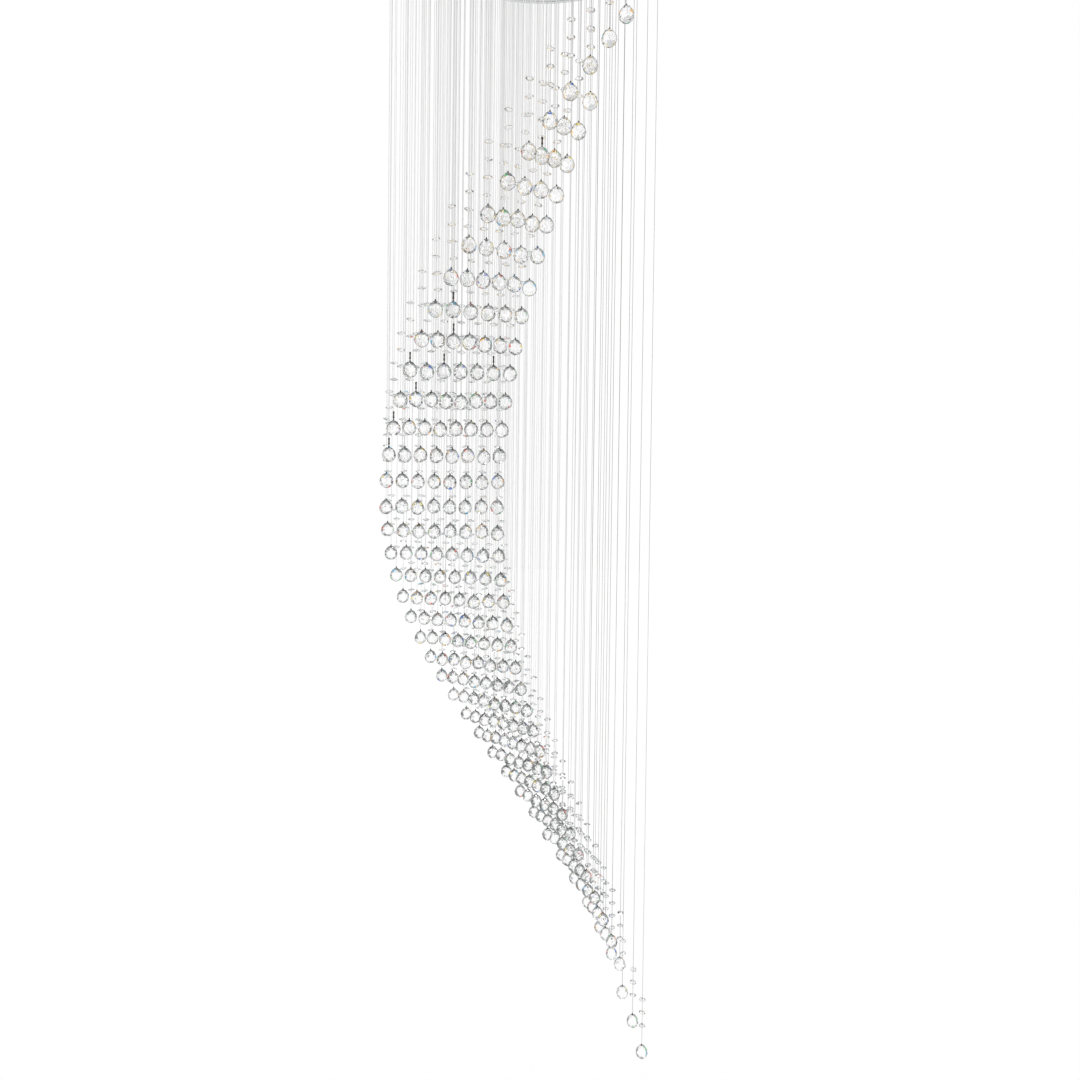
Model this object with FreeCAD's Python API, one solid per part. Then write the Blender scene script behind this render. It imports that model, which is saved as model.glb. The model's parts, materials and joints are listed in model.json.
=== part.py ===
import FreeCAD, Part
import math
import os

from FreeCAD import Vector

# A spiral raindrop chandelier: a round mirror canopy, 42 straight rows of crystal strands that step
# down in a helix round a crescent of holes, and five twist-lock spot lamps inside the crescent.
# Millimetres. Origin: centre of the bracket's face on the ceiling. +Z is up, everything hangs below.
# The crescent is symmetric about the XZ plane and opens towards +X.

# Canopy
CANOPY_DIAMETER = 800.0
CANOPY_DEPTH = 85.0
CANOPY_SIDES = 40           # the spun skirt and plate are drawn many-sided, to stay light
SKIRT_SHEET = 1.5
SKIRT_FLANGE = 12.0         # inward flange that the plate rests on
SKIRT_CHAMFER = 3.0         # softened lower edge
CEILING_GAP = 0.5           # between the skirt's rim and the ceiling
PLATE_SHEET = 1.5
PLATE_PLAY = 0.5            # between the plate's edge and the skirt

# Ceiling bracket: two crossed flat bars with turned-down tabs
BAR_WIDTH = 30.0
BAR_SHEET = 3.0
TAB_HEIGHT = 26.0
TAB_PLAY = 0.5              # between the tabs and the skirt
SLOT_REACH = 170.0          # from the centre to each ceiling-screw slot
SLOT_WIDTH = 7.0
SLOT_LENGTH = 20.0

# Thumbscrews that hold the skirt to the tabs
SCREW_DIAMETER = 5.0
SCREW_PLAY = 0.3
SCREW_HEIGHT = 15.0         # below the ceiling
THUMB_DIAMETER = 14.0
THUMB_LENGTH = 9.0
NUT_WIDTH = 9.0
NUT_LENGTH = 5.0
NUT_PLAY = 0.1
SCREW_TIP = 3.0             # how far each screw passes its nut

# Wiring inside the canopy
GROMMET_X = -60.0
GROMMET_BORE = 9.0
GROMMET_WALL = 2.5
GROMMET_LIP = 2.5
GROMMET_PLAY = 0.1
TERMINAL_X = -118.0
TERMINAL_LENGTH = 36.0
TERMINAL_WIDTH = 44.0
TERMINAL_HEIGHT = 24.0
TERMINAL_POLES = 3
TERMINAL_RECESS = 6.0       # depth of the screw recesses
EARTH_X = -84.0
EARTH_DIAMETER = 4.0
EARTH_LENGTH = 14.0
EARTH_NUT_WIDTH = 8.0
EARTH_NUT_HEIGHT = 3.5
EARTH_PLAY = 0.1
LEAD_DIAMETER = 4.0
LEAD_OFFSET = 9.0           # the supply lead passes beside the lamp's strap

# Lamps: twist-lock reflector bulbs on an arc inside the crescent
LAMP_COUNT = 5
LAMP_PITCH = 37.5           # degrees round the inner ring's centre
LAMP_INSET = 80.0           # from the inner ring of holes to the lamps
LAMP_SIDES = 12
BULB_DIAMETER = 50.0
BULB_RIM = 5.0
BULB_NECK_DIAMETER = 27.0
BULB_TAPER_END = 36.0
BULB_BODY_LENGTH = 47.0
BULB_RECESS = 1.0           # the lens lies this far above the plate's underside
PIN_SPACING = 10.0
PIN_DIAMETER = 4.6
PIN_LENGTH = 6.5
PIN_PLAY = 0.5
HOLDER_DIAMETER = 32.0
HOLDER_HEIGHT = 14.0
TRIM_PLAY = 1.2             # between bulb and trim collar, and trim collar and plate
TRIM_WALL = 1.5
TRIM_LIP = 6.0
TRIM_LIP_HEIGHT = 2.0
TRIM_COLLAR_HEIGHT = 8.0
STRAP_WIDTH = 12.0
STRAP_SHEET = 1.2
STRAP_FOOT = 10.0
STRAP_SPAN = 72.0           # between the strap's legs

# Pattern of strand holes: each row is a straight line from the outer ring to the inner ring
RING_MARGIN = 25.0          # from the canopy's edge to the outer ring
HOLES_PER_TURN = 54         # holes that a full outer ring would have
ROW_COUNT = 42
INNER_RING_SHARE = 0.77     # size of the inner ring, against the outer one
INNER_SHIFT_SHARE = 0.555   # its centre's way towards +X, against the outer ring's radius
INNER_TURN_SHARE = 0.76     # the inner ends turn this share of the outer ends' angle
STRANDS_PER_ROW = 8         # at most

# Strands: a wire, three flat beads and a pointed ball, one step lower in each row
FIRST_DROP = 440.0          # from the plate's underside to the first ball's centre
ROW_STEP = 64.0
TAIL_ROWS = 3               # rows at the end that hang lower still
TAIL_DROP = 32.0            # how much lower
WIRE_DIAMETER = 1.0
WIRE_SIDES = 3
WIRE_BITE = 8.0             # length of wire held in the ball
CURTAIN_GAP = 0.9           # room for the wires' tops to tilt under the plate
STRAND_GAP = 0.3
BALL_DIAMETER = 34.0
BALL_SIDES = 5
BALL_GAP = 0.6              # least room between two balls of a row
BALL_POINT = 3.0            # height of the drawn-up point above the round
BALL_CORNER_SHARE = 0.95    # the corners' distance from the axis, against the ball's radius
BALL_CORNER_RISE = 0.48     # their height above or below the middle, against that radius
BEAD_DIAMETER = 20.0
BEAD_HEIGHT = 8.0
BEAD_SIDES = 4
BEAD_COUNT = 3
BEAD_PITCH = 38.0
LOWEST_BEAD = 78.0          # above the ball's centre
ROWS_PER_CURTAIN = 4        # rows that sway together

# Clearance where a piece seats on another
SEAT = 0.3
ROD_SIDES = 8               # screws, leads and their holes
OVERRUN = 1.0               # how far a cutter or a joined piece runs past a face

CANOPY_RADIUS = CANOPY_DIAMETER / 2
FLANGE_TOP = SKIRT_SHEET - CANOPY_DEPTH
PLATE_UNDERSIDE = FLANGE_TOP
PLATE_TOP = PLATE_UNDERSIDE + PLATE_SHEET
TAB_REACH = (CANOPY_RADIUS - SKIRT_SHEET) * math.cos(math.pi / CANOPY_SIDES) - TAB_PLAY
OUTER_RING_RADIUS = CANOPY_RADIUS - RING_MARGIN
INNER_RING_RADIUS = INNER_RING_SHARE * OUTER_RING_RADIUS
INNER_RING_X = INNER_SHIFT_SHARE * OUTER_RING_RADIUS


def ring_points(radius, height, sides, turn=0.0):
    """Corners of a regular polygon on a circle, level at a height."""
    step = 2 * math.pi / sides
    return [
        Vector(radius * math.cos(turn + i * step), radius * math.sin(turn + i * step), height)
        for i in range(sides)
    ]


def solid_from(faces):
    """Closed solid from flat faces that meet at their edges."""
    shell = Part.makeShell(faces)
    shell.sewShape()
    solid = Part.makeSolid(shell)
    if solid.Volume < 0:
        solid.reverse()
    return solid


def flat_face(points):
    """Flat face through the corners given."""
    return Part.Face(Part.makePolygon(points + [points[0]]))


def band(lower, upper):
    """Flat faces between two rings with the same turn. A ring of one point is an apex."""
    sides = max(len(lower), len(upper))
    faces = []
    for i in range(sides):
        j = (i + 1) % sides
        if len(lower) == 1:
            faces.append(flat_face([lower[0], upper[i], upper[j]]))
        elif len(upper) == 1:
            faces.append(flat_face([lower[i], lower[j], upper[0]]))
        else:
            faces.append(flat_face([lower[i], lower[j], upper[j], upper[i]]))
    return faces


def stack(profile, sides):
    """Many-sided solid from (radius, height) levels, lowest first. Flats face the axes."""
    turn = math.pi / sides
    rings = [
        ring_points(radius, height, sides, turn) if radius > 0 else [Vector(0, 0, height)]
        for radius, height in profile
    ]
    faces = []
    for lower, upper in zip(rings, rings[1:]):
        faces += band(lower, upper)
    for end in (rings[0], rings[-1]):
        if len(end) > 1:
            faces.append(flat_face(end))
    return solid_from(faces)


def hoop(profile, sides):
    """Many-sided ring from a closed (radius, height) profile that stays off the axis."""
    turn = math.pi / sides
    rings = [ring_points(radius, height, sides, turn) for radius, height in profile]
    faces = []
    for lower, upper in zip(rings, rings[1:] + rings[:1]):
        faces += band(lower, upper)
    return solid_from(faces)


def rod(radius, start, end, sides=ROD_SIDES):
    """Many-sided rod between two points, its corners on the radius given."""
    reach = end - start
    prism = stack([(radius, 0), (radius, reach.Length)], sides)
    prism.Placement = FreeCAD.Placement(start, FreeCAD.Rotation(Vector(0, 0, 1), reach))
    return prism


def rod_hole(radius, start, end, sides=ROD_SIDES):
    """Cutter for a hole that a rod of the radius given passes, flat to flat."""
    return rod(across_flats(radius, sides), start, end, sides)


def across_flats(radius, sides):
    """Corner radius of a many-sided opening whose flats lie at the radius given."""
    return radius / math.cos(math.pi / sides)


def hexagon_nut(width, height, base, axis):
    """Six-sided prism of a width across flats, standing on its base point."""
    return rod(across_flats(width / 2, 6), base, base + axis * height, 6)


# ---------------------------------------------------------------- canopy


def side_directions():
    """The four ways that the bracket's arms point."""
    return [Vector(1, 0, 0), Vector(0, 1, 0), Vector(-1, 0, 0), Vector(0, -1, 0)]


def screw_point(direction, reach):
    """A point on a thumbscrew's axis."""
    return direction * reach + Vector(0, 0, -SCREW_HEIGHT)


def slot_cutter(centre, along_x):
    """Through cutter for one ceiling-screw slot."""
    run = SLOT_LENGTH - SLOT_WIDTH
    step = Vector(run / 2, 0, 0) if along_x else Vector(0, run / 2, 0)
    size_x = run if along_x else SLOT_WIDTH
    size_y = SLOT_WIDTH if along_x else run
    low = centre - Vector(size_x / 2, size_y / 2, 2 * BAR_SHEET)
    cutter = Part.makeBox(size_x, size_y, 4 * BAR_SHEET, low)
    for end in (centre - step, centre + step):
        cutter = cutter.fuse(
            Part.makeCylinder(SLOT_WIDTH / 2, 4 * BAR_SHEET, end - Vector(0, 0, 2 * BAR_SHEET))
        )
    return cutter.removeSplitter()


def ceiling_bracket():
    """Crossed bars with slots for the ceiling screws and a tab for each thumbscrew."""
    half = BAR_WIDTH / 2
    bars = Part.makeBox(2 * TAB_REACH, BAR_WIDTH, BAR_SHEET, Vector(-TAB_REACH, -half, -BAR_SHEET))
    bars = bars.fuse(
        Part.makeBox(BAR_WIDTH, 2 * TAB_REACH, BAR_SHEET, Vector(-half, -TAB_REACH, -BAR_SHEET))
    )
    for index, direction in enumerate(side_directions()):
        tab = Part.makeBox(
            BAR_SHEET, BAR_WIDTH, TAB_HEIGHT, Vector(TAB_REACH - BAR_SHEET, -half, -TAB_HEIGHT)
        )
        tab.rotate(Vector(0, 0, 0), Vector(0, 0, 1), 90 * index)
        hole = rod_hole(
            SCREW_DIAMETER / 2 + SCREW_PLAY,
            screw_point(direction, TAB_REACH - 2 * BAR_SHEET),
            screw_point(direction, TAB_REACH + BAR_SHEET),
        )
        bars = bars.fuse(tab).cut(hole)
        bars = bars.cut(slot_cutter(direction * SLOT_REACH, index % 2 == 0))
    neck = GROMMET_BORE / 2 + GROMMET_WALL + GROMMET_PLAY
    for radius, x in ((neck, GROMMET_X), (EARTH_DIAMETER / 2 + EARTH_PLAY, EARTH_X)):
        bars = bars.cut(rod_hole(radius, Vector(x, 0, -2 * BAR_SHEET), Vector(x, 0, BAR_SHEET)))
    return bars.removeSplitter()


def canopy_skirt():
    """Spun band with a softened lower edge and an inward flange."""
    inner = CANOPY_RADIUS - SKIRT_SHEET
    lip = CANOPY_RADIUS - SKIRT_FLANGE
    low = -CANOPY_DEPTH
    profile = [
        (lip, low),
        (CANOPY_RADIUS - SKIRT_CHAMFER, low),
        (CANOPY_RADIUS, low + SKIRT_CHAMFER),
        (CANOPY_RADIUS, -CEILING_GAP),
        (inner, -CEILING_GAP),
        (inner, FLANGE_TOP),
        (lip, FLANGE_TOP),
    ]
    skirt = hoop(profile, CANOPY_SIDES)
    for direction in side_directions():
        skirt = skirt.cut(
            rod_hole(
                SCREW_DIAMETER / 2 + SCREW_PLAY,
                screw_point(direction, TAB_REACH),
                screw_point(direction, CANOPY_RADIUS + SKIRT_SHEET),
            )
        )
    return skirt


def canopy_plate():
    """Mirror plate that rests on the skirt's flange, with a hole for each lamp."""
    radius = CANOPY_RADIUS - SKIRT_SHEET - PLATE_PLAY
    plate = stack([(radius, PLATE_UNDERSIDE), (radius, PLATE_TOP)], CANOPY_SIDES)
    hole = across_flats(trim_collar_radius() + SEAT, LAMP_SIDES)
    for centre in lamp_centres():
        levels = [(hole, PLATE_UNDERSIDE - OVERRUN), (hole, PLATE_TOP + OVERRUN)]
        cutter = stack(levels, LAMP_SIDES)
        plate = plate.cut(cutter.translated(centre))
    return plate


def side_screw(direction):
    """Thumbscrew: a drum head outside the skirt and a shank through skirt, tab and nut."""
    head_start = CANOPY_RADIUS + SEAT
    tip = TAB_REACH - BAR_SHEET - NUT_LENGTH - SCREW_TIP
    head = rod(
        THUMB_DIAMETER / 2,
        screw_point(direction, head_start),
        screw_point(direction, head_start + THUMB_LENGTH),
    )
    shank = rod(SCREW_DIAMETER / 2, screw_point(direction, tip), screw_point(direction, head_start))
    return head.fuse(shank)


def tab_nut(direction):
    """Nut welded behind a tab."""
    base = screw_point(direction, TAB_REACH - BAR_SHEET)
    nut = hexagon_nut(NUT_WIDTH, NUT_LENGTH, base, direction * -1)
    bore = rod_hole(
        SCREW_DIAMETER / 2 + NUT_PLAY,
        screw_point(direction, TAB_REACH),
        screw_point(direction, TAB_REACH - BAR_SHEET - 2 * NUT_LENGTH),
    )
    return nut.cut(bore)


def cable_grommet():
    """Grommet for the supply cable, with a lip under the bar."""
    bore = GROMMET_BORE / 2
    neck = bore + GROMMET_WALL
    low = -BAR_SHEET - GROMMET_LIP
    wide = neck + GROMMET_LIP
    levels = [(wide, low), (wide, -BAR_SHEET), (neck, -BAR_SHEET), (neck, 0)]
    body = stack(levels, ROD_SIDES).translated(Vector(GROMMET_X, 0, 0))
    return body.cut(Part.makeCylinder(bore, -low, Vector(GROMMET_X, 0, low)))


def terminal_block():
    """Terminal block under the bar, with a row of screw recesses in each long side."""
    low = -BAR_SHEET - TERMINAL_HEIGHT
    corner = Vector(TERMINAL_X - TERMINAL_LENGTH / 2, -TERMINAL_WIDTH / 2, low)
    block = Part.makeBox(TERMINAL_LENGTH, TERMINAL_WIDTH, TERMINAL_HEIGHT, corner)
    pitch = TERMINAL_WIDTH / TERMINAL_POLES
    for pole in range(TERMINAL_POLES):
        start = corner.y + pole * pitch + pitch / 4
        for edge in (corner.x, corner.x + TERMINAL_LENGTH - TERMINAL_RECESS):
            place = Vector(edge, start, low)
            size = (TERMINAL_RECESS, pitch / 2, TERMINAL_HEIGHT / 3)
            block = block.cut(Part.makeBox(*size, place))
    return block


def earth_post():
    """Earth stud through the bar with its nut."""
    stud = rod(EARTH_DIAMETER / 2, Vector(EARTH_X, 0, -EARTH_LENGTH), Vector(EARTH_X, 0, 0))
    base = Vector(EARTH_X, 0, -BAR_SHEET)
    return stud.fuse(hexagon_nut(EARTH_NUT_WIDTH, EARTH_NUT_HEIGHT, base, Vector(0, 0, -1)))


# ---------------------------------------------------------------- lamps


def lamp_angles():
    """Directions of the lamps from the inner ring's centre, in degrees."""
    middle = (LAMP_COUNT - 1) / 2
    return [180 + (index - middle) * LAMP_PITCH for index in range(LAMP_COUNT)]


def lamp_centres():
    """Lamp axes in plan."""
    radius = INNER_RING_RADIUS - LAMP_INSET
    return [
        Vector(
            INNER_RING_X + radius * math.cos(math.radians(angle)),
            radius * math.sin(math.radians(angle)),
            0,
        )
        for angle in lamp_angles()
    ]


def trim_collar_radius():
    """Outside radius of a trim's collar."""
    return across_flats(BULB_DIAMETER / 2 + TRIM_PLAY, LAMP_SIDES) + TRIM_WALL


BULB_FACE = PLATE_UNDERSIDE + BULB_RECESS
HOLDER_LOW = BULB_FACE + BULB_BODY_LENGTH + SEAT
HOLDER_TOP = HOLDER_LOW + HOLDER_HEIGHT
LEAD_HEIGHT = HOLDER_TOP - LEAD_DIAMETER


def lamp_trim():
    """Trim ring: a lip under the plate and a collar up through its hole."""
    bore = across_flats(BULB_DIAMETER / 2 + TRIM_PLAY, LAMP_SIDES)
    collar = trim_collar_radius()
    low = PLATE_UNDERSIDE - TRIM_LIP_HEIGHT
    profile = [
        (bore, low),
        (collar + TRIM_LIP, low + TRIM_LIP_HEIGHT / 2),
        (collar + TRIM_LIP, PLATE_UNDERSIDE),
        (collar, PLATE_UNDERSIDE),
        (collar, PLATE_UNDERSIDE + TRIM_COLLAR_HEIGHT),
        (bore, PLATE_UNDERSIDE + TRIM_COLLAR_HEIGHT),
    ]
    return hoop(profile, LAMP_SIDES)


def bulb():
    """Reflector bulb: lens rim, tapered body, neck and two locking pins."""
    wide = BULB_DIAMETER / 2
    neck = BULB_NECK_DIAMETER / 2
    profile = [
        (wide, BULB_FACE),
        (wide, BULB_FACE + BULB_RIM),
        (neck, BULB_FACE + BULB_TAPER_END),
        (neck, BULB_FACE + BULB_BODY_LENGTH),
    ]
    body = stack(profile, LAMP_SIDES)
    for side in (-1, 1):
        pin = stack([(PIN_DIAMETER / 2, 0), (PIN_DIAMETER / 2, PIN_LENGTH + OVERRUN)], 6)
        place = Vector(0, side * PIN_SPACING / 2, BULB_FACE + BULB_BODY_LENGTH - OVERRUN)
        body = body.fuse(pin.translated(place))
    return body


def lampholder():
    """Ceramic holder with a round groove in which the bulb's pins turn."""
    radius = HOLDER_DIAMETER / 2
    groove_in = PIN_SPACING / 2 - PIN_DIAMETER / 2 - PIN_PLAY
    groove_out = across_flats(PIN_SPACING / 2 + PIN_DIAMETER / 2 + PIN_PLAY, LAMP_SIDES)
    depth = PIN_LENGTH - SEAT + PIN_PLAY
    holder = stack([(radius, HOLDER_LOW), (radius, HOLDER_TOP)], LAMP_SIDES)
    groove = hoop(
        [
            (groove_in, HOLDER_LOW - OVERRUN),
            (groove_out, HOLDER_LOW - OVERRUN),
            (groove_out, HOLDER_LOW + depth),
            (groove_in, HOLDER_LOW + depth),
        ],
        LAMP_SIDES,
    )
    return holder.cut(groove)


def holder_strap():
    """Bent strap that stands on the plate and carries the lampholder."""
    half = STRAP_SPAN / 2
    low = PLATE_TOP
    top = HOLDER_TOP
    outline = [
        (-half - STRAP_FOOT, low),
        (-half, low),
        (-half, top),
        (half, top),
        (half, low),
        (half + STRAP_FOOT, low),
        (half + STRAP_FOOT, low + STRAP_SHEET),
        (half + STRAP_SHEET, low + STRAP_SHEET),
        (half + STRAP_SHEET, top + STRAP_SHEET),
        (-half - STRAP_SHEET, top + STRAP_SHEET),
        (-half - STRAP_SHEET, low + STRAP_SHEET),
        (-half - STRAP_FOOT, low + STRAP_SHEET),
    ]
    points = [Vector(x, -STRAP_WIDTH / 2, z) for x, z in outline]
    return flat_face(points).extrude(Vector(0, STRAP_WIDTH, 0))


def placed_at_lamps(shape):
    """A copy of a lamp piece at each lamp, its X axis turned away from the inner ring's centre."""
    copies = []
    for angle, centre in zip(lamp_angles(), lamp_centres()):
        copy = shape.copy()
        copy.rotate(Vector(0, 0, 0), Vector(0, 0, 1), angle)
        copies.append(copy.translated(centre))
    return copies


def lamp_leads():
    """Leads from the terminal block to the middle holder and from each holder to the next."""
    side = HOLDER_DIAMETER / 2 + SEAT
    centres = lamp_centres()
    middle = centres[LAMP_COUNT // 2]
    start = Vector(TERMINAL_X + TERMINAL_LENGTH / 2 + SEAT, LEAD_OFFSET, LEAD_HEIGHT)
    reach = math.sqrt(side**2 - (LEAD_OFFSET - LEAD_DIAMETER / 2) ** 2)
    leads = [rod(LEAD_DIAMETER / 2, start, Vector(middle.x - reach, LEAD_OFFSET, LEAD_HEIGHT))]
    for first, second in zip(centres, centres[1:]):
        way = (second - first).normalize()
        lift = Vector(0, 0, LEAD_HEIGHT)
        leads.append(rod(LEAD_DIAMETER / 2, first + way * side + lift, second - way * side + lift))
    return Part.makeCompound(leads)


# ---------------------------------------------------------------- strands


def row_ends(row):
    """Outer and inner end of a row of holes, in plan."""
    turn = 180 - (row - (ROW_COUNT - 1) / 2) * 360 / HOLES_PER_TURN
    outer_angle = math.radians(turn)
    inner_angle = math.radians(180 + (turn - 180) * INNER_TURN_SHARE)
    outer = Vector(math.cos(outer_angle), math.sin(outer_angle), 0) * OUTER_RING_RADIUS
    inner = Vector(math.cos(inner_angle), math.sin(inner_angle), 0) * INNER_RING_RADIUS
    return outer, inner + Vector(INNER_RING_X, 0, 0)


def row_holes(row):
    """Holes of a row: as many as fit with clear balls, spread evenly from end to end."""
    outer, inner = row_ends(row)
    reach = inner - outer
    fitting = 1 + int(reach.Length / (BALL_DIAMETER + BALL_GAP))
    count = min(STRANDS_PER_ROW, fitting)
    share = 1 / max(1, count - 1)
    return [outer + reach * (index * share) for index in range(count)]


def ball_height(row):
    """Height of the ball centres in a row."""
    slack = TAIL_DROP if row >= ROW_COUNT - TAIL_ROWS else 0
    return PLATE_UNDERSIDE - FIRST_DROP - row * ROW_STEP - slack


def crystal_ball():
    """Faceted ball: two staggered rings of corners and a drawn-up point, centred on the origin."""
    radius = BALL_DIAMETER / 2
    ring_radius = BALL_CORNER_SHARE * radius
    ring_height = BALL_CORNER_RISE * radius
    half_turn = math.pi / BALL_SIDES
    top = Vector(0, 0, radius + BALL_POINT)
    foot = Vector(0, 0, -radius)
    upper = ring_points(ring_radius, ring_height, BALL_SIDES, half_turn)
    lower = ring_points(ring_radius, -ring_height, BALL_SIDES)
    faces = []
    for i in range(BALL_SIDES):
        j = (i + 1) % BALL_SIDES
        faces.append(flat_face([upper[i], upper[j], top]))
        faces.append(flat_face([lower[j], upper[j], upper[i]]))
        faces.append(flat_face([lower[i], lower[j], upper[i]]))
        faces.append(flat_face([lower[j], lower[i], foot]))
    return solid_from(faces)


def crystal_bead():
    """Flat bead with sloping facets, centred on the origin."""
    half = BEAD_HEIGHT / 2
    return stack([(0, -half), (BEAD_DIAMETER / 2, 0), (0, half)], BEAD_SIDES)


def strand_wire(hole, row, gap):
    """Wire from just under the plate into the ball's point."""
    top = PLATE_UNDERSIDE - gap
    low = ball_height(row) + BALL_DIAMETER / 2 + BALL_POINT - WIRE_BITE
    wire = stack([(WIRE_DIAMETER / 2, low), (WIRE_DIAMETER / 2, top)], WIRE_SIDES)
    return wire.translated(hole)


def write_strands(name, rows, gap):
    """One node each for the wires, beads and balls of some rows."""
    ball = crystal_ball()
    bead = crystal_bead()
    wires, beads, balls = [], [], []
    for row in rows:
        height = ball_height(row)
        for hole in row_holes(row):
            wires.append(strand_wire(hole, row, gap))
            balls.append(ball.translated(hole + Vector(0, 0, height)))
            for index in range(BEAD_COUNT):
                lift = Vector(0, 0, height + LOWEST_BEAD + index * BEAD_PITCH)
                beads.append(bead.translated(hole + lift))
    write(name + "_wires", Part.makeCompound(wires))
    write(name + "_beads", Part.makeCompound(beads))
    write(name + "_balls", Part.makeCompound(balls))


def write(name, shape):
    """Write one node."""
    shape.exportStep(os.path.join("parts", name + ".step"))


def write_canopy():
    """Bracket, skirt, plate, fasteners and wiring."""
    directions = side_directions()
    write("ceiling_bracket", ceiling_bracket())
    write("canopy_skirt", canopy_skirt())
    write("canopy_plate", canopy_plate())
    write("side_screws", Part.makeCompound([side_screw(way) for way in directions]))
    write("tab_nuts", Part.makeCompound([tab_nut(way) for way in directions]))
    write("cable_grommet", cable_grommet())
    write("terminal_block", terminal_block())
    write("earth_post", earth_post())


def write_lamps():
    """Trims, holders, straps and leads, and each bulb by itself."""
    write("lamp_trims", Part.makeCompound(placed_at_lamps(lamp_trim())))
    write("lampholders", Part.makeCompound(placed_at_lamps(lampholder())))
    write("holder_straps", Part.makeCompound(placed_at_lamps(holder_strap())))
    write("lamp_leads", lamp_leads())
    for index, shape in enumerate(placed_at_lamps(bulb()), start=1):
        write(f"spot_bulb_{index}", shape)


def write_all_strands():
    """The first and last strand by themselves, and the rows between them in curtains."""
    last = ROW_COUNT - 1
    write_strands("first_strand", [0], STRAND_GAP)
    for index, start in enumerate(range(1, last, ROWS_PER_CURTAIN), start=1):
        rows = range(start, min(start + ROWS_PER_CURTAIN, last))
        write_strands(f"curtain_{index:02d}", rows, CURTAIN_GAP)
    write_strands("last_strand", [last], STRAND_GAP)


os.makedirs("parts", exist_ok=True)
write_canopy()
write_lamps()
write_all_strands()
print("strands:", sum(len(row_holes(row)) for row in range(ROW_COUNT)))
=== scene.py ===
"""Looks of a spiral crystal chandelier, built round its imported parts.

Everything is in metres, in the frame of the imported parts: the origin is the middle of the bracket's
face on the ceiling, +Z is up, and the strands hang along -Z.
"""

import json
import logging
import math
import random
from dataclasses import dataclass, field
from enum import Enum
from typing import Iterable, Sequence

import bmesh
import bpy
from mathutils import Matrix, Vector

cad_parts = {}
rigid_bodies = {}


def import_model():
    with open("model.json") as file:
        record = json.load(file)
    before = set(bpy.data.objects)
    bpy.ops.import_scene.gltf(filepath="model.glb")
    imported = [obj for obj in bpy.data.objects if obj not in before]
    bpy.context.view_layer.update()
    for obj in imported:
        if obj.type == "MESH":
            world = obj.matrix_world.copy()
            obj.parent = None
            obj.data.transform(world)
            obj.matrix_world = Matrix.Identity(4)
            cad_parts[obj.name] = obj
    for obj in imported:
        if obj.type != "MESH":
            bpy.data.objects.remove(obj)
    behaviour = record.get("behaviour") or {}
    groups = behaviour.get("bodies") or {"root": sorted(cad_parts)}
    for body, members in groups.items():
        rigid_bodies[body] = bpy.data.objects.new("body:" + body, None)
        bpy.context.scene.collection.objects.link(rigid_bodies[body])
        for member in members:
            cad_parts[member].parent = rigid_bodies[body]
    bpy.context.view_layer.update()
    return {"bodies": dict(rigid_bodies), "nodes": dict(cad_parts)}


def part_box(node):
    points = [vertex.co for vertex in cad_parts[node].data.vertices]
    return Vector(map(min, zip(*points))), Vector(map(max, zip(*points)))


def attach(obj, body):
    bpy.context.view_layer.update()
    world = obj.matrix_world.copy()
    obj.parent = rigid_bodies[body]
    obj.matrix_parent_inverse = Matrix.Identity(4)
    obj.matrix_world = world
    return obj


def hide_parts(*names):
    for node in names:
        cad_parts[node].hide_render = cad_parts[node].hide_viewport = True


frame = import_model()

LOG = logging.getLogger("chandelier")
MM = 0.001
FULL_TURN = 2 * math.pi
SAME_SPOT = 1e-6  # corners nearer than this, in metres, are one
LAMP_COUNT = 5
SEED = 20
WHITE = "#FFFFFF"
# Sockets of a Mix node that blends colours.
FIRST_COLOUR, SECOND_COLOUR, MIXED_COLOUR = 6, 7, 2

Tree = bpy.types.NodeTree
Node = bpy.types.Node
Mesh = bpy.types.Mesh
Shape = bmesh.types.BMesh
Source = tuple[Node, str | int]
Span = tuple[float, float]
Profile = Sequence[Span]
Colour = tuple[float, float, float, float]
Palette = tuple[str, ...]


# ---------- finishes


class Slot(Enum):
    """The record's material slots, by name."""

    MIRROR = "mirror_steel"
    TRIM = "chrome_trim"
    STRAND = "strand_steel"
    CRYSTAL = "crystal"
    LAMP = "lamp_glass"
    CERAMIC = "white_ceramic"
    BRASS = "brass"


def linear(colour: str) -> Colour:
    """Turns an sRGB hex colour to linear RGBA.

    Args:
        colour: Hex digits with a leading hash.

    Returns:
        Red, green, blue and an alpha of 1.
    """
    parts = [int(colour[at : at + 2], 16) / 255 for at in (1, 3, 5)]
    # The curve is the sRGB standard's own.
    bent = [c / 12.92 if c <= 0.04045 else ((c + 0.055) / 1.055) ** 2.4 for c in parts]
    return (*bent, 1.0)


def add_node(
    tree: Tree, kind: str, settings: dict | None = None, links: dict | None = None
) -> Node:
    """Adds one shader node.

    Args:
        tree: Node tree that gets the node.
        kind: The node's type name, less the ShaderNode that it starts with.
        settings: Value for each input socket, by name or number, or for each property.
        links: Source node and output for each input socket.

    Returns:
        The new node.
    """
    node = tree.nodes.new(f"ShaderNode{kind}")
    for key, value in (settings or {}).items():
        if isinstance(key, int) or key in node.inputs:
            node.inputs[key].default_value = value
        else:
            setattr(node, key, value)
    for key, (source, output) in (links or {}).items():
        tree.links.new(source.outputs[output], node.inputs[key])
    return node


def add_math(tree: Tree, operation: str, *terms: float | Source) -> Source:
    """Adds one maths node.

    Args:
        tree: Node tree that gets the node.
        operation: What the node works out.
        terms: A number for each input, or the node and output that feed it.

    Returns:
        The new node and its output.
    """
    numbers = {at: term for at, term in enumerate(terms) if not isinstance(term, tuple)}
    links = {at: term for at, term in enumerate(terms) if isinstance(term, tuple)}
    return add_node(tree, "Math", {"operation": operation, **numbers}, links), 0


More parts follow.
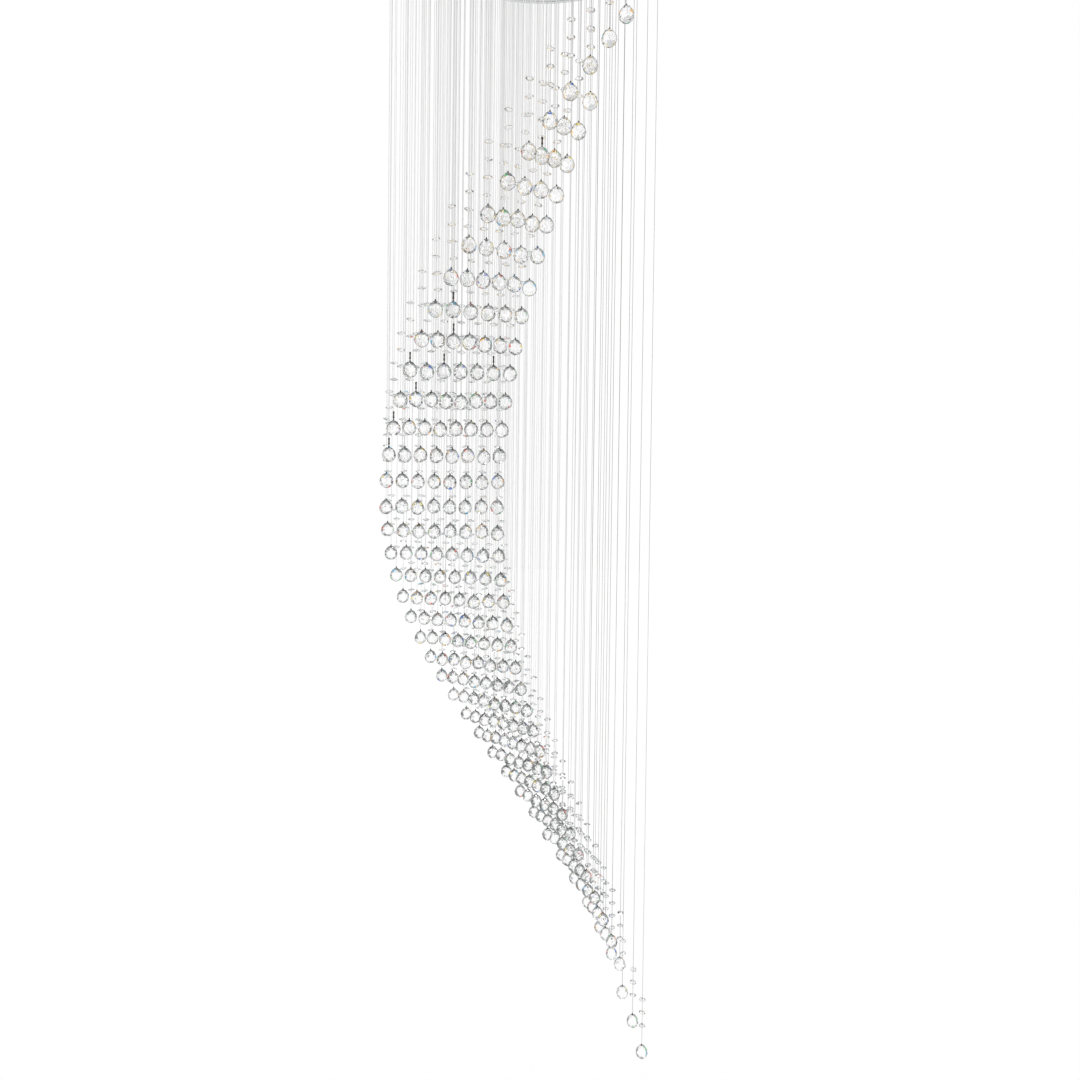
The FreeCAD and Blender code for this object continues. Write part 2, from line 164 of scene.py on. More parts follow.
def add_range(tree: Tree, source: Source, start: Span, end: Span = (0.0, 1.0)) -> Source:
    """Adds a node that maps one range of values to another and holds its ends.

    Args:
        tree: Node tree that gets the node.
        source: Node and output that feed it.
        start: First and last value that come in.
        end: The values that they turn into.

    Returns:
        The new node and its output.
    """
    settings = {1: start[0], 2: start[1], 3: end[0], 4: end[1]}
    return add_node(tree, "MapRange", settings, {0: source}), 0


def fresh_tree(owner: bpy.types.Material | bpy.types.World) -> Tree:
    """Empties the owner's node tree and returns it."""
    owner.use_nodes = True
    owner.node_tree.nodes.clear()
    return owner.node_tree


def add_object(name: str, data: bpy.types.ID) -> bpy.types.Object:
    """Puts a new object with its data into the scene and returns it."""
    made = bpy.data.objects.new(name, data)
    bpy.context.scene.collection.objects.link(made)
    return made


@dataclass(frozen=True)
class Finish:
    """A plain finish: one colour, and a fine grain where its making leaves one."""

    name: str
    colour: str
    roughness: float
    metallic: float = 0.0
    ior: float = 1.5
    grain_mm: float = 0.0
    grain_depth_mm: float = 0.0
    grain_detail: float = 3.0
    grain_strength: float = 0.4
    glow: str = ""
    glow_strength: float = 0.0

    def surface(self, tree: Tree) -> Node:
        """Adds the shader with its plain sockets set.

        Args:
            tree: Node tree of the material.

        Returns:
            The Principled node.
        """
        settings = {
            "Base Color": linear(self.colour),
            "Roughness": self.roughness,
            "Metallic": self.metallic,
            "IOR": self.ior,
        }
        if self.glow:
            settings["Emission Color"] = linear(self.glow)
            settings["Emission Strength"] = self.glow_strength
        return add_node(tree, "BsdfPrincipled", settings)

    def dress(self, tree: Tree, shader: Node) -> None:
        """Adds the grain that the making leaves.

        Args:
            tree: Node tree of the material.
            shader: The Principled node.
        """
        if not self.grain_mm:
            return
        place = add_node(tree, "TexCoord")
        grain = add_node(
            tree,
            "TexNoise",
            {"Scale": 1 / (self.grain_mm * MM), "Detail": self.grain_detail},
            {"Vector": (place, "Object")},
        )
        bump = add_node(
            tree,
            "Bump",
            {"Strength": self.grain_strength, "Distance": self.grain_depth_mm * MM},
            {"Height": (grain, 0)},
        )
        tree.links.new(bump.outputs[0], shader.inputs["Normal"])

    def build(self) -> bpy.types.Material:
        """Makes the material once and returns it."""
        found = bpy.data.materials.get(self.name)
        if found:
            return found
        made = bpy.data.materials.new(self.name)
        tree = fresh_tree(made)
        shader = self.surface(tree)
        self.dress(tree, shader)
        add_node(tree, "OutputMaterial", links={"Surface": (shader, 0)})
        made.diffuse_color = linear(self.colour)
        return made


@dataclass(frozen=True)
class CutCrystal(Finish):
    """Lead-free optical glass, cut and polished.

    Facets seen face on stay clear, which leaves each ball its white middle. Facets seen at a slant
    show their own tint, which is painted light: painted coloured glints for the colours that the cut
    edges split off, and painted shade in the greys. The lowest angles go grey, which draws the thin
    dark outline, a painted shade. Seen through the glass from inside, the tint is fainter. The tint's
    alpha is 1 on the facets that glint, which keeps the outline off them, and below 0 round a ball's
    tip and on its shaded side, where the painted tint and outline reach further. They also reach
    further round a set level, and the outline fades towards the tail.
    """

    # edge is the colour of the painted outline shade; the two ranges are the slants over which the
    # tint and that painted shade come in.
    edge: str = "#393E3C"
    facing_blend: float = 0.5
    tint_range: Span = (0.26, 0.44)
    outline_shade_range: Span = (0.44, 0.85)
    outline_peak_level: float = -1.85
    outline_peak_reach: float = 0.4
    outline_peak_shift: float = 0.1
    inner_share: float = 0.25
    fade_levels: Span = (-2.95, -2.7)
    faded: float = 0.4

    def dress(self, tree: Tree, shader: Node) -> None:
        """Adds facet tints and grey low-angle facets.

        Args:
            tree: Node tree of the material.
            shader: The Principled node.
        """
        shader.inputs["Transmission Weight"].default_value = 1.0
        tint = add_node(tree, "Attribute", {"attribute_name": "facet_painted_light"})
        facing = add_node(tree, "LayerWeight", {"Blend": self.facing_blend})
        place = add_node(tree, "TexCoord")
        level = add_node(tree, "SeparateXYZ", links={0: (place, "Object")})
        # The tint and the painted outline shade reach further round one level.
        offset = add_math(tree, "SUBTRACT", (level, "Z"), self.outline_peak_level)
        away = add_math(tree, "ABSOLUTE", offset)
        outline_peak = add_range(tree, away, (self.outline_peak_reach, 0.0), (0.0, self.outline_peak_shift))
        deepened_facing = add_math(tree, "ADD", (facing, "Facing"), outline_peak)
        cap = add_math(tree, "MINIMUM", (tint, "Alpha"), 0.0)
        slant = add_math(tree, "SUBTRACT", deepened_facing, cap)
        tinting, outline_shading = [
            add_range(tree, slant, span) for span in (self.tint_range, self.outline_shade_range)
        ]
        side = add_node(tree, "NewGeometry")
        strength = add_range(tree, (side, "Backfacing"), (0.0, 1.0), (1.0, self.inner_share))
        tinted = add_node(
            tree,
            "Mix",
            {"data_type": "RGBA", FIRST_COLOUR: linear(self.colour)},
            {0: add_math(tree, "MULTIPLY", tinting, strength), SECOND_COLOUR: (tint, "Color")},
        )
        held = add_math(tree, "SUBTRACT", 1.0, (tint, "Alpha"))
        fade = add_range(tree, (level, "Z"), self.fade_levels, (self.faded, 1.0))
        kept = add_math(tree, "MULTIPLY", held, fade)
        # Mixes in the painted outline shade at the lowest angles, held off glinting facets and faded
        # low down.
        outlined = add_node(
            tree,
            "Mix",
            {"data_type": "RGBA", SECOND_COLOUR: linear(self.edge)},
            {0: add_math(tree, "MULTIPLY", outline_shading, kept), FIRST_COLOUR: (tinted, MIXED_COLOUR)},
        )
        tree.links.new(outlined.outputs[MIXED_COLOUR], shader.inputs["Base Color"])


@dataclass(frozen=True)
class DrawnWire(Finish):
    """Metal drawn to wire, each length with its own grey, which holds painted shade."""

    def dress(self, tree: Tree, shader: Node) -> None:
        """Takes the colour from each wire's grey, painted shade with a random tone.

        Args:
            tree: Node tree of the material.
            shader: The Principled node.
        """
        shade = add_node(tree, "Attribute", {"attribute_name": "wire_tone_and_shade"})
        tree.links.new(shade.outputs["Color"], shader.inputs["Base Color"])


# Polished 430 stainless: mirror-bright, and it shows the balls under it.
MIRROR_STEEL = Finish("polished stainless steel", "#D6D7D8", 0.04, 1.0)
# Decorative chrome on steel: brighter and bluer than the steel round it.
CHROME = Finish("chrome plate", "#D9DCE0", 0.08, 1.0)
# Clear-passivated zinc on pressed steel: dull grey with fine spangle.
ZINC_PLATE = Finish("zinc-plated steel", "#A9AEB2", 0.42, 1.0, grain_mm=1.6, grain_depth_mm=0.05)
# Drawn stainless wire: thin, grey and a little shiny along its length.
DRAWN_WIRE = DrawnWire("drawn stainless wire", "#E8E8E8", 0.38, 1.0)
# The same wire where it is knotted: short, so its shade can't be told.
KNOTTED_WIRE = Finish("knotted stainless wire", "#E8E8E8", 0.38, 1.0)
# Darkened steel of the clips and sleeves.
BLACKED_PIN = Finish("blackened steel pin", "#4B4A44", 0.45, 0.9)
# Steatite: matt white with a slightly sandy skin.
CERAMIC = Finish("steatite ceramic", "#E9E5DA", 0.62, grain_mm=0.8, grain_depth_mm=0.04)
# Moulded nylon of the terminal block: off-white, with a low sheen.
NYLON = Finish("moulded polyamide", "#ECEBE4", 0.42)
# Rubber of the grommet: soft black, dusty in its grain.
RUBBER = Finish("moulded rubber", "#1E1E1F", 0.6, grain_mm=0.9, grain_depth_mm=0.03)
# Heat-proof sleeves of the lamp leads: cream, between matt and shiny.
SILICONE = Finish("silicone sleeve", "#E6E2D6", 0.5)
# Turned screws and stud: the one warm metal behind the plate.
BRASS = Finish("turned brass", "#C9A24A", 0.3, 1.0)
# Pressed glass reflector with a vapour-deposited mirror behind it.
REFLECTOR = Finish("aluminised reflector glass", "#D8D6D0", 0.12, 0.9)
# The lens in front of it, lit from behind: warm white, with its prisms just readable.
LENS = Finish("lit prismatic lens", "#FFF3DC", 0.3, glow="#FFD9A6", glow_strength=1.6)
# Cut and polished balls: clear in the middle, with a thin painted outline shade
# and single painted coloured glints.
CRYSTAL = CutCrystal("cut optical crystal", WHITE, 0.0, ior=1.52)
# Pressed and fire-polished beads: the same glass, with a softer and paler painted outline shade
# than the cut balls.
BEAD_CRYSTAL = CutCrystal(
    "pressed crystal bead", WHITE, 0.0, ior=1.52, edge="#8F9498", outline_shade_range=(0.4, 1.1)
)


# ---------- shapes


def revolve(profile: Profile, steps: int, closed: bool = False) -> Mesh:
    """Spins a profile round the Z axis, with corners and faces in the same order every time.

    Args:
        profile: Radius and height of each corner.
        steps: Segments in the full turn.
        closed: True where the profile is a ring that joins its own start.

    Returns:
        A mesh with outward faces.
    """
    shape = bmesh.new()
    turns = [FULL_TURN * step / steps for step in range(steps)]
    rings = []
    for radius, height in profile:
        ring = [
            shape.verts.new((radius * math.cos(turn), radius * math.sin(turn), height))
            for turn in (turns if radius else turns[:1])
        ]
        rings.append(ring if radius else ring * steps)
    pairs = list(zip(rings, rings[1:]))
    if closed:
        pairs.append((rings[-1], rings[0]))
    for lower, upper in pairs:
        for step in range(steps):
            corners = (lower[step - 1], lower[step], upper[step], upper[step - 1])
            shape.faces.new(dict.fromkeys(corners))
    bmesh.ops.recalc_face_normals(shape, faces=shape.faces[:])
    mesh = bpy.data.meshes.new("template")
    shape.to_mesh(mesh)
    shape.free()
    return mesh


def plug(radius: float, shoulder: float, tip: float, height: float, sides: int) -> Mesh:
    """A round plug that narrows above its shoulder.

    Args:
        radius: Radius up to the shoulder.
        shoulder: Height of the shoulder, as a share of the whole.
        tip: Radius of the flat top.
        height: The whole height.
        sides: Segments in the full turn.

    Returns:
        A mesh that stands on the origin.
    """
    bend = height * shoulder
    return revolve([(0, 0), (radius, 0), (radius, bend), (tip, height), (0, height)], sides)


def stamp(shape: Shape, template: Mesh, spot: Vector, turn: Matrix = Matrix()) -> None:
    """Adds a placed copy of a template mesh to a shape.

    Args:
        shape: Mesh under construction.
        template: Mesh that is copied.
        spot: Where the template's origin goes.
        turn: How the copy is turned there.
    """
    copy = template.copy()
    copy.transform(Matrix.Translation(spot) @ turn)
    shape.from_mesh(copy)
    bpy.data.meshes.remove(copy)


def bar(shape: Shape, start: Vector, end: Vector, radius: float, sides: int) -> None:
    """Adds a straight round bar.

    Args:
        shape: Mesh under construction.
        start: Middle of its first end.
        end: Middle of its other end.
        radius: Radius to its corners.
        sides: Sides of its section.
    """
    way = end - start
    turn = way.to_track_quat("Z", "Y").to_matrix().to_4x4()
    bmesh.ops.create_cone(
        shape,
        cap_ends=True,
        segments=sides,
        radius1=radius,
        radius2=radius,
        depth=way.length,
        matrix=Matrix.Translation((start + end) / 2) @ turn,
    )


def add_piece(
    name: str,
    shape: Shape,
    body: str,
    finishes: Finish | Sequence[Finish],
    replaced: Iterable[str] = (),
    soften: float | None = None,
) -> bpy.types.Object:
    """Turns a shape into a piece of the chandelier.

    Args:
        name: Name of the piece.
        shape: Finished mesh; it is freed.
        body: Moving part that the piece rides on.
        finishes: One finish, or one for each material number of the faces.
        replaced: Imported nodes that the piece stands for.
        soften: Angle in degrees under which edges are shaded smooth.

    Returns:
        The new object.
    """
    mesh = bpy.data.meshes.new(name)
    shape.to_mesh(mesh)
    shape.free()
    for finish in [finishes] if isinstance(finishes, Finish) else finishes:
        mesh.materials.append(finish.build())
    if soften is not None:
        mesh.shade_smooth()
        mesh.set_sharp_from_angle(angle=math.radians(soften))
    piece = add_object(name, mesh)
    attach(piece, body)
    if replaced:
        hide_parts(*replaced)
    LOG.info("%s rides on %s, %d faces", name, body, len(mesh.polygons))
    return piece


def islands(node: str) -> list[tuple[Vector, Vector]]:
    """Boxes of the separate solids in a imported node.

    Args:
        node: Name of the node.

    Returns:
        Lowest and highest corner of each solid, in the order of their first points.
    """
    shape = bmesh.new()
    shape.from_mesh(frame["nodes"][node].data)
    bmesh.ops.remove_doubles(shape, verts=shape.verts[:], dist=SAME_SPOT)
    seen: set[bmesh.types.BMVert] = set()
    boxes = []
    for first in shape.verts:
        if first in seen:
            continue
        seen.add(first)
        queue, found = [first], []
        while queue:
            corner = queue.pop()
            found.append(corner.co.copy())
            for edge in corner.link_edges:
                other = edge.other_vert(corner)
                if other not in seen:
                    seen.add(other)
                    queue.append(other)
        low = Vector([min(c[axis] for c in found) for axis in range(3)])
        high = Vector([max(c[axis] for c in found) for axis in range(3)])
        boxes.append((low, high))
    shape.free()
    return boxes


def plan_middle(low: Vector, high: Vector) -> Vector:
    """Middle of a box in plan, at height 0."""
    return Vector(((low.x + high.x) / 2, (low.y + high.y) / 2, 0))


def raised(height: float) -> Vector:
    """A step straight up."""
    return Vector((0, 0, height))


# ---------- strands


class Facet(Enum):
    """What a facet shows, and how often out of a hundred."""

    # All but clear facets are painted light: grey ones painted shade, pale ones a painted tint of
    # split-off or lamp light, sparks painted coloured glints.
    CLEAR = 40
    GREY = 32
    PALE = 16
    SPARK = 12


@dataclass(frozen=True)
class Cut:
    """How the facets of one kind of crystal take their tints.

    The rise is the one above which a facet belongs to the dark tip, which is painted shade. The
    glints are the share of coloured facets, painted glints, that is kept, and faint is how far the
    tail's painted outline shades are held back.
    """

    cap_rise: float
    glints: float
    faint: float


@dataclass
class Hang:
    """One strand: its hole in plan, its ball's level, and how far the ball hangs off plumb."""

    hole: Vector
    level: float
    lean: Vector
    clipped: bool

    def at(self, level: float, top: float) -> Vector:
        """Point of the wire at a level, where its top is held at another."""
        share = (top - level) / (top - self.level)
        return Vector((self.hole.x, self.hole.y, level)) + self.lean * share


@dataclass
class Strands:
    """One body of wire strands with their beads, balls, sleeves and clips."""

    body: str
    draw: random.Random
    hangs: list[Hang] = field(default_factory=list)
    top: float = 0.0
    # Levels of the rows, from the ceiling down.
    first_ball: float = -523.5 * MM
    row_step: float = 64 * MM
    # Balls, and how far each strays from its even place.
    ball_radius: float = 17.4 * MM
    ball_point: float = 4.2 * MM
    ball_shoulder: float = 2.2 * MM
    ball_subdivisions: int = 2
    ball_wander: float = 2.2 * MM
    most_drop: float = 4.5 * MM
    most_rise: float = 0.2 * MM
    most_lean: float = 0.5 * MM
    # Beads. The table and the girdle are shares of the radius and of the height.
    bead_radius: float = 9.5 * MM
    bead_height: float = 6.6 * MM
    bead_table: float = 0.45
    bead_girdle: float = 0.2
    bead_sides: int = 8
    bead_tilt: float = math.radians(15)
    bead_wander: float = 0.5 * MM
    # Wires. Their greys change between two ends of the line that wire_way points along, as painted
    # shade, with a random tone on top.
    wire_radius: float = 0.68 * MM
    wire_sides: int = 6
    wire_crease: float = 70
    wire_way: Span = (0.966, 0.259)
    bright_end: float = 0.03
    shaded_end: float = 0.22
    wire_shades: Span = (0.92, 0.4)
    shade_wander: float = 0.07
    shade_limits: Span = (0.32, 0.95)
    # Sleeves on the balls' points. The shoulder and the overlap are shares of the length.
    sleeve_radius: float = 1.7 * MM
    sleeve_length: float = 4.5 * MM
    sleeve_shoulder: float = 0.7
    sleeve_overlap: float = 0.35
    # Clips, widest near both ends and narrow for a short way in the middle.
    clip_radius: float = 2.6 * MM
    clip_length: float = 18 * MM
    clip_flare: float = 0.15
    clip_waist: float = 0.1
    pin_sides: int = 6
    pin_crease: float = 50
    # Row and place, counted from outside, of each strand with a clip.
    clips: tuple[tuple[int, int], ...] = (
        (6, 2), (11, 2), (12, 3), (13, 1), (13, 3), (13, 6), (14, 2), (15, 1), (16, 1),
    )
    # How the facets take their painted tints. Warm ones high up, near the lamps, are painted lamp
    # light, and the tints get cooler and the greys darker low down. The cap is a ball's dark tip and
    # its shaded side faces against wire_way; both are painted shade, and the cap is darker on the
    # side that faces along wire_way.
    ball_cut: Cut = Cut(cap_rise=0.42, glints=1.0, faint=0.6)
    bead_cut: Cut = Cut(cap_rise=1.0, glints=0.35, faint=0.0)
    warm_level: float = -1.35
    cool_level: float = -1.9
    blend_height: float = 0.5
    cap_shrink: float = 0.3
    cap_shift: float = 0.09
    cap_dark: float = 0.35
    shaded_side: float = -0.25
    shaded_share: float = 0.7
    shaded_shift: float = 0.28
    pale_tail: float = -2.8
    low_glints: float = 0.3
    greyed_low: float = 0.5
    paled_high: float = 0.6
    dark_share: float = 0.2
    darker_low: float = 0.6
    clear: Palette = (WHITE, "#FBFDFF", "#F2F4F5")
    grey: Palette = ("#8A8F8D", "#6A6F6D", "#B4B8B5")
    dark: Palette = ("#5A5F5D", "#474C4A", "#7A7F7C")
    pale: Palette = ("#FFF0B8", "#F6D9C9", "#D3EAD2", "#CFE2F6", "#E6DAF4")
    warm: Palette = ("#FFE9B0", "#FFDFA0", "#F4E9CC", "#F1D3A8")
    cool: Palette = ("#DAD3E6", "#C9C6DA", "#E7E2EE")
    spark: Palette = ("#1E44C4", "#F08A1E", "#F2CC2E", "#35A455", "#D33A2A", "#2A8FD0")

    def read(self) -> None:
        """Reads where the strands hang, and draws how far each strays."""
        self.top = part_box(f"{self.body}_wires")[1].z
        rows: dict[int, list[Vector]] = {}
        for low, high in islands(f"{self.body}_balls"):
            middle = (low + high) / 2
            spot = Vector((middle.x, middle.y, low.z + self.ball_radius))
            row = 1 + round((self.first_ball - spot.z) / self.row_step)
            rows.setdefault(row, []).append(spot)
        for row, spots in sorted(rows.items()):
            spots.sort(key=lambda spot: -spot.xy.length)
            for place, spot in enumerate(spots, start=1):
                stray = self.draw.gauss(0, self.ball_wander)
                stray = max(-self.most_drop, min(self.most_rise, stray))
                lean = Vector([self.draw.uniform(-1, 1) * self.most_lean for _ in "xy"] + [0])
                hole = Vector((spot.x, spot.y, 0))
                self.hangs.append(Hang(hole, spot.z + stray, lean, (row, place) in self.clips))

    def facet_painted_light(self, level: float, outward: Vector, cut: Cut) -> Colour:
        """Draws the tint of one facet: a painted glint, painted shade, painted lamp light, or clear.

        Args:
            level: Height of the facet.
            outward: Direction that the facet faces.
            cut: How crystal of this cut takes its tints.

        Returns:
            Linear RGB, and how far the outline is held off the facet, up to 1 where it glints, or
            below 0 where tint and outline reach further.
        """
        kinds = list(Facet)
        kind = self.draw.choices(kinds, [k.value for k in kinds])[0]
        warmth = min(1.0, max(0.0, (level - self.warm_level) / self.blend_height))
        chill = min(1.0, max(0.0, (self.cool_level - level) / self.blend_height))
        shade = self.draw.random()
        glints = cut.glints * (max(self.low_glints, warmth) if outward.z < 0 else 1.0)
        if kind is Facet.SPARK and self.draw.random() > glints:
            kind = Facet.CLEAR
        side = outward.x * self.wire_way[0] + outward.y * self.wire_way[1]
        # Painted shade on the tip, darker on facets that face along wire_way.
        if outward.z > cut.cap_rise + self.cap_shrink * warmth and kind is not Facet.SPARK:
            palette = self.dark if shade < self.cap_dark * (1 + side) else self.grey
            return (*linear(self.draw.choice(palette))[:3], -self.cap_shift * (1 - warmth))
        # Painted shade on the side that faces against wire_way, low down.
        shaded = side < self.shaded_side and self.draw.random() < self.shaded_share * chill
        if shaded and level > self.pale_tail:
            return (*linear(self.draw.choice(self.dark))[:3], -self.shaded_shift)
        if kind is Facet.CLEAR and self.draw.random() < self.greyed_low * chill:
            kind = Facet.GREY
        if kind is Facet.GREY and self.draw.random() < self.paled_high * warmth:
            kind = Facet.PALE
        # Pale tints high up take the warm palette, painted lamp light.
        dark = shade < self.dark_share + self.darker_low * chill
        palette = {
            Facet.CLEAR: self.clear,
            Facet.GREY: self.dark if dark else self.grey,
            Facet.PALE: self.warm if shade < warmth else self.cool if shade < chill else self.pale,
            Facet.SPARK: self.spark,
        }[kind]
        held = 1.0 if kind is Facet.SPARK else cut.faint * chill
        return (*linear(self.draw.choice(palette))[:3], held)

    def add_crystals(self, kind: str, shape: Shape, glass: CutCrystal, cut: Cut) -> None:
        """Adds the balls or the beads, and gives every facet its tint.

        Args:
            kind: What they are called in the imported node.
            shape: Their finished mesh.
            glass: Finish of the glass.
            cut: How crystal of this cut takes its tints.
        """
        name, node = f"{self.body}_crystal_{kind}", f"{self.body}_{kind}"
        mesh = add_piece(name, shape, self.body, glass, [node]).data
        layer = mesh.attributes.new("facet_painted_light", "FLOAT_COLOR", "CORNER")
        values = []
        for face in mesh.polygons:
            colour = self.facet_painted_light(face.center.z, face.normal, cut)
            values.extend(colour * face.loop_total)
        layer.data.foreach_set("color", values)

    def balls(self) -> None:
        """Faceted balls with a drawn-up point."""
        shape = bmesh.new()
        for hang in self.hangs:
            place = Matrix.Translation(hang.at(hang.level, self.top)) @ Matrix.Rotation(
                self.draw.uniform(0, FULL_TURN), 4, "Z"
            )
            made = bmesh.ops.create_icosphere(
                shape, subdivisions=self.ball_subdivisions, radius=self.ball_radius, matrix=place
            )
            tip = max(made["verts"], key=lambda corner: corner.co.z)
            shoulder = [edge.other_vert(tip) for edge in tip.link_edges]
            bmesh.ops.translate(shape, verts=[tip], vec=raised(self.ball_point))
            bmesh.ops.translate(shape, verts=shoulder, vec=raised(self.ball_shoulder))
        self.add_crystals("balls", shape, CRYSTAL, self.ball_cut)

    def beads(self) -> None:
        """Flat eight-sided beads, each threaded at its own slant."""
        half = self.bead_height / 2
        table, girdle = self.bead_radius * self.bead_table, half * self.bead_girdle
        profile = [
            (0, -half),
            (table, -half),
            (self.bead_radius, -girdle),
            (self.bead_radius, girdle),
            (table, half),
            (0, half),
        ]
        template = revolve(profile, self.bead_sides)
        shape = bmesh.new()
        for low, high in islands(f"{self.body}_beads"):
            middle = (low + high) / 2
            hang = min(self.hangs, key=lambda one: (one.hole - middle).xy.length)
            spot = hang.at(middle.z + self.draw.uniform(-1, 1) * self.bead_wander, self.top)
            turn = Matrix.Rotation(self.draw.uniform(0, FULL_TURN), 4, "Z")
            slant = Matrix.Rotation(self.draw.uniform(-1, 1) * self.bead_tilt, 4, "X")
            stamp(shape, template, spot, turn @ slant)
        self.add_crystals("beads", shape, BEAD_CRYSTAL, self.bead_cut)

    def wire_tone_and_shade(self, hang: Hang, own: random.Random) -> float:
        """Grey of one wire: painted shade, darker towards one end of the row of wires, where they
        hang singly, with a random tone on top.

        Args:
            hang: The strand.
            own: Random numbers kept for the wires.

        Returns:
            How much of the light the wire gives back.
        """
        across = hang.hole.x * self.wire_way[0] + hang.hole.y * self.wire_way[1]
        share = (across - self.bright_end) / (self.shaded_end - self.bright_end)
        share = min(1.0, max(0.0, share))
        bright, dull = self.wire_shades
        shade = bright + (dull - bright) * share + own.gauss(0, self.shade_wander)
        least, most = self.shade_limits
        return min(most, max(least, shade))

    def wires(self) -> None:
        """Wires from the plate's underside into the balls' points."""
        shape = bmesh.new()
        for hang in self.hangs:
            foot = hang.at(hang.level, self.top) + raised(self.ball_radius)
            bar(shape, foot, hang.at(self.top, self.top), self.wire_radius, self.wire_sides)
        piece = add_piece(
            f"{self.body}_steel_wires", shape, self.body, DRAWN_WIRE,
            [f"{self.body}_wires"], self.wire_crease,
        )
        layer = piece.data.attributes.new("wire_tone_and_shade", "FLOAT_COLOR", "CORNER")
        own = random.Random(len(self.hangs))
        shades = [self.wire_tone_and_shade(hang, own) for hang in self.hangs]
        faces = piece.data.polygons
        each = len(faces) // len(shades)
        values = []
        for face in faces:
            values.extend((*[shades[face.index // each]] * 3, 1.0) * face.loop_total)
        layer.data.foreach_set("color", values)

    def pins(self) -> None:
        """A dark sleeve on each ball's point, and a bow-tie clip above a few of them."""
        length = self.sleeve_length
        sleeve = plug(
            self.sleeve_radius, self.sleeve_shoulder, self.wire_radius, length, self.pin_sides
        )
        half = self.clip_length / 2
        profile = [
            (0, 0),
            (self.clip_radius, half * self.clip_flare),
            (self.sleeve_radius, half * (1 - self.clip_waist)),
            (self.sleeve_radius, half * (1 + self.clip_waist)),
            (self.clip_radius, half * (2 - self.clip_flare)),
            (0, half * 2),
        ]
        clip = revolve(profile, self.pin_sides)
        shape = bmesh.new()
        rise = raised(self.ball_radius + self.ball_point - length * self.sleeve_overlap)
        for hang in self.hangs:
            tip = hang.at(hang.level, self.top) + rise
            stamp(shape, sleeve, tip)
            if hang.clipped:
                stamp(shape, clip, tip + raised(length))
        add_piece(
            f"{self.body}_ball_pins", shape, self.body, BLACKED_PIN,
            soften=self.pin_crease,
        )

    def build(self) -> None:
        """Builds every piece of this body."""
        self.read()
        self.balls()
        self.beads()
        self.wires()
        self.pins()


@dataclass
class StrandFixings:
    """Eyelets under the plate and knots above it, one pair for each strand."""

    underside: float
    topside: float
    bodies: list[str]
    eyelet_radius: float = 3 * MM
    eyelet_taper: float = 0.85
    eyelet_bore: float = 1.9 * MM
    bore_flare: float = 1.1
    eyelet_height: float = 0.8 * MM
    knot_radius: float = 1.8 * MM
    knot_height: float = 6 * MM
    knot_shoulder: float = 0.8
    knot_tip: float = 0.4
    sides: int = 8
    crease: float = 40

    def spots(self) -> list[Vector]:
        """Places of all strands on the plate."""
        return [plan_middle(*box) for body in self.bodies for box in islands(f"{body}_wires")]

    def build(self) -> None:
        """Builds the eyelets and the knots."""
        profile = [
            (self.eyelet_bore, 0),
            (self.eyelet_radius, 0),
            (self.eyelet_radius * self.eyelet_taper, -self.eyelet_height),
            (self.eyelet_bore * self.bore_flare, -self.eyelet_height),
        ]
        eyelet = revolve(profile, self.sides, closed=True)
        tip = self.knot_radius * self.knot_tip
        knot = plug(self.knot_radius, self.knot_shoulder, tip, self.knot_height, self.sides)
        lower, upper = bmesh.new(), bmesh.new()
        for spot in self.spots():
            stamp(lower, eyelet, spot + raised(self.underside))
            stamp(upper, knot, spot + raised(self.topside))
        add_piece("strand_eyelets", lower, "root", CHROME, soften=self.crease)
        add_piece("strand_knots", upper, "root", KNOTTED_WIRE, soften=self.crease)


# ---------- canopy


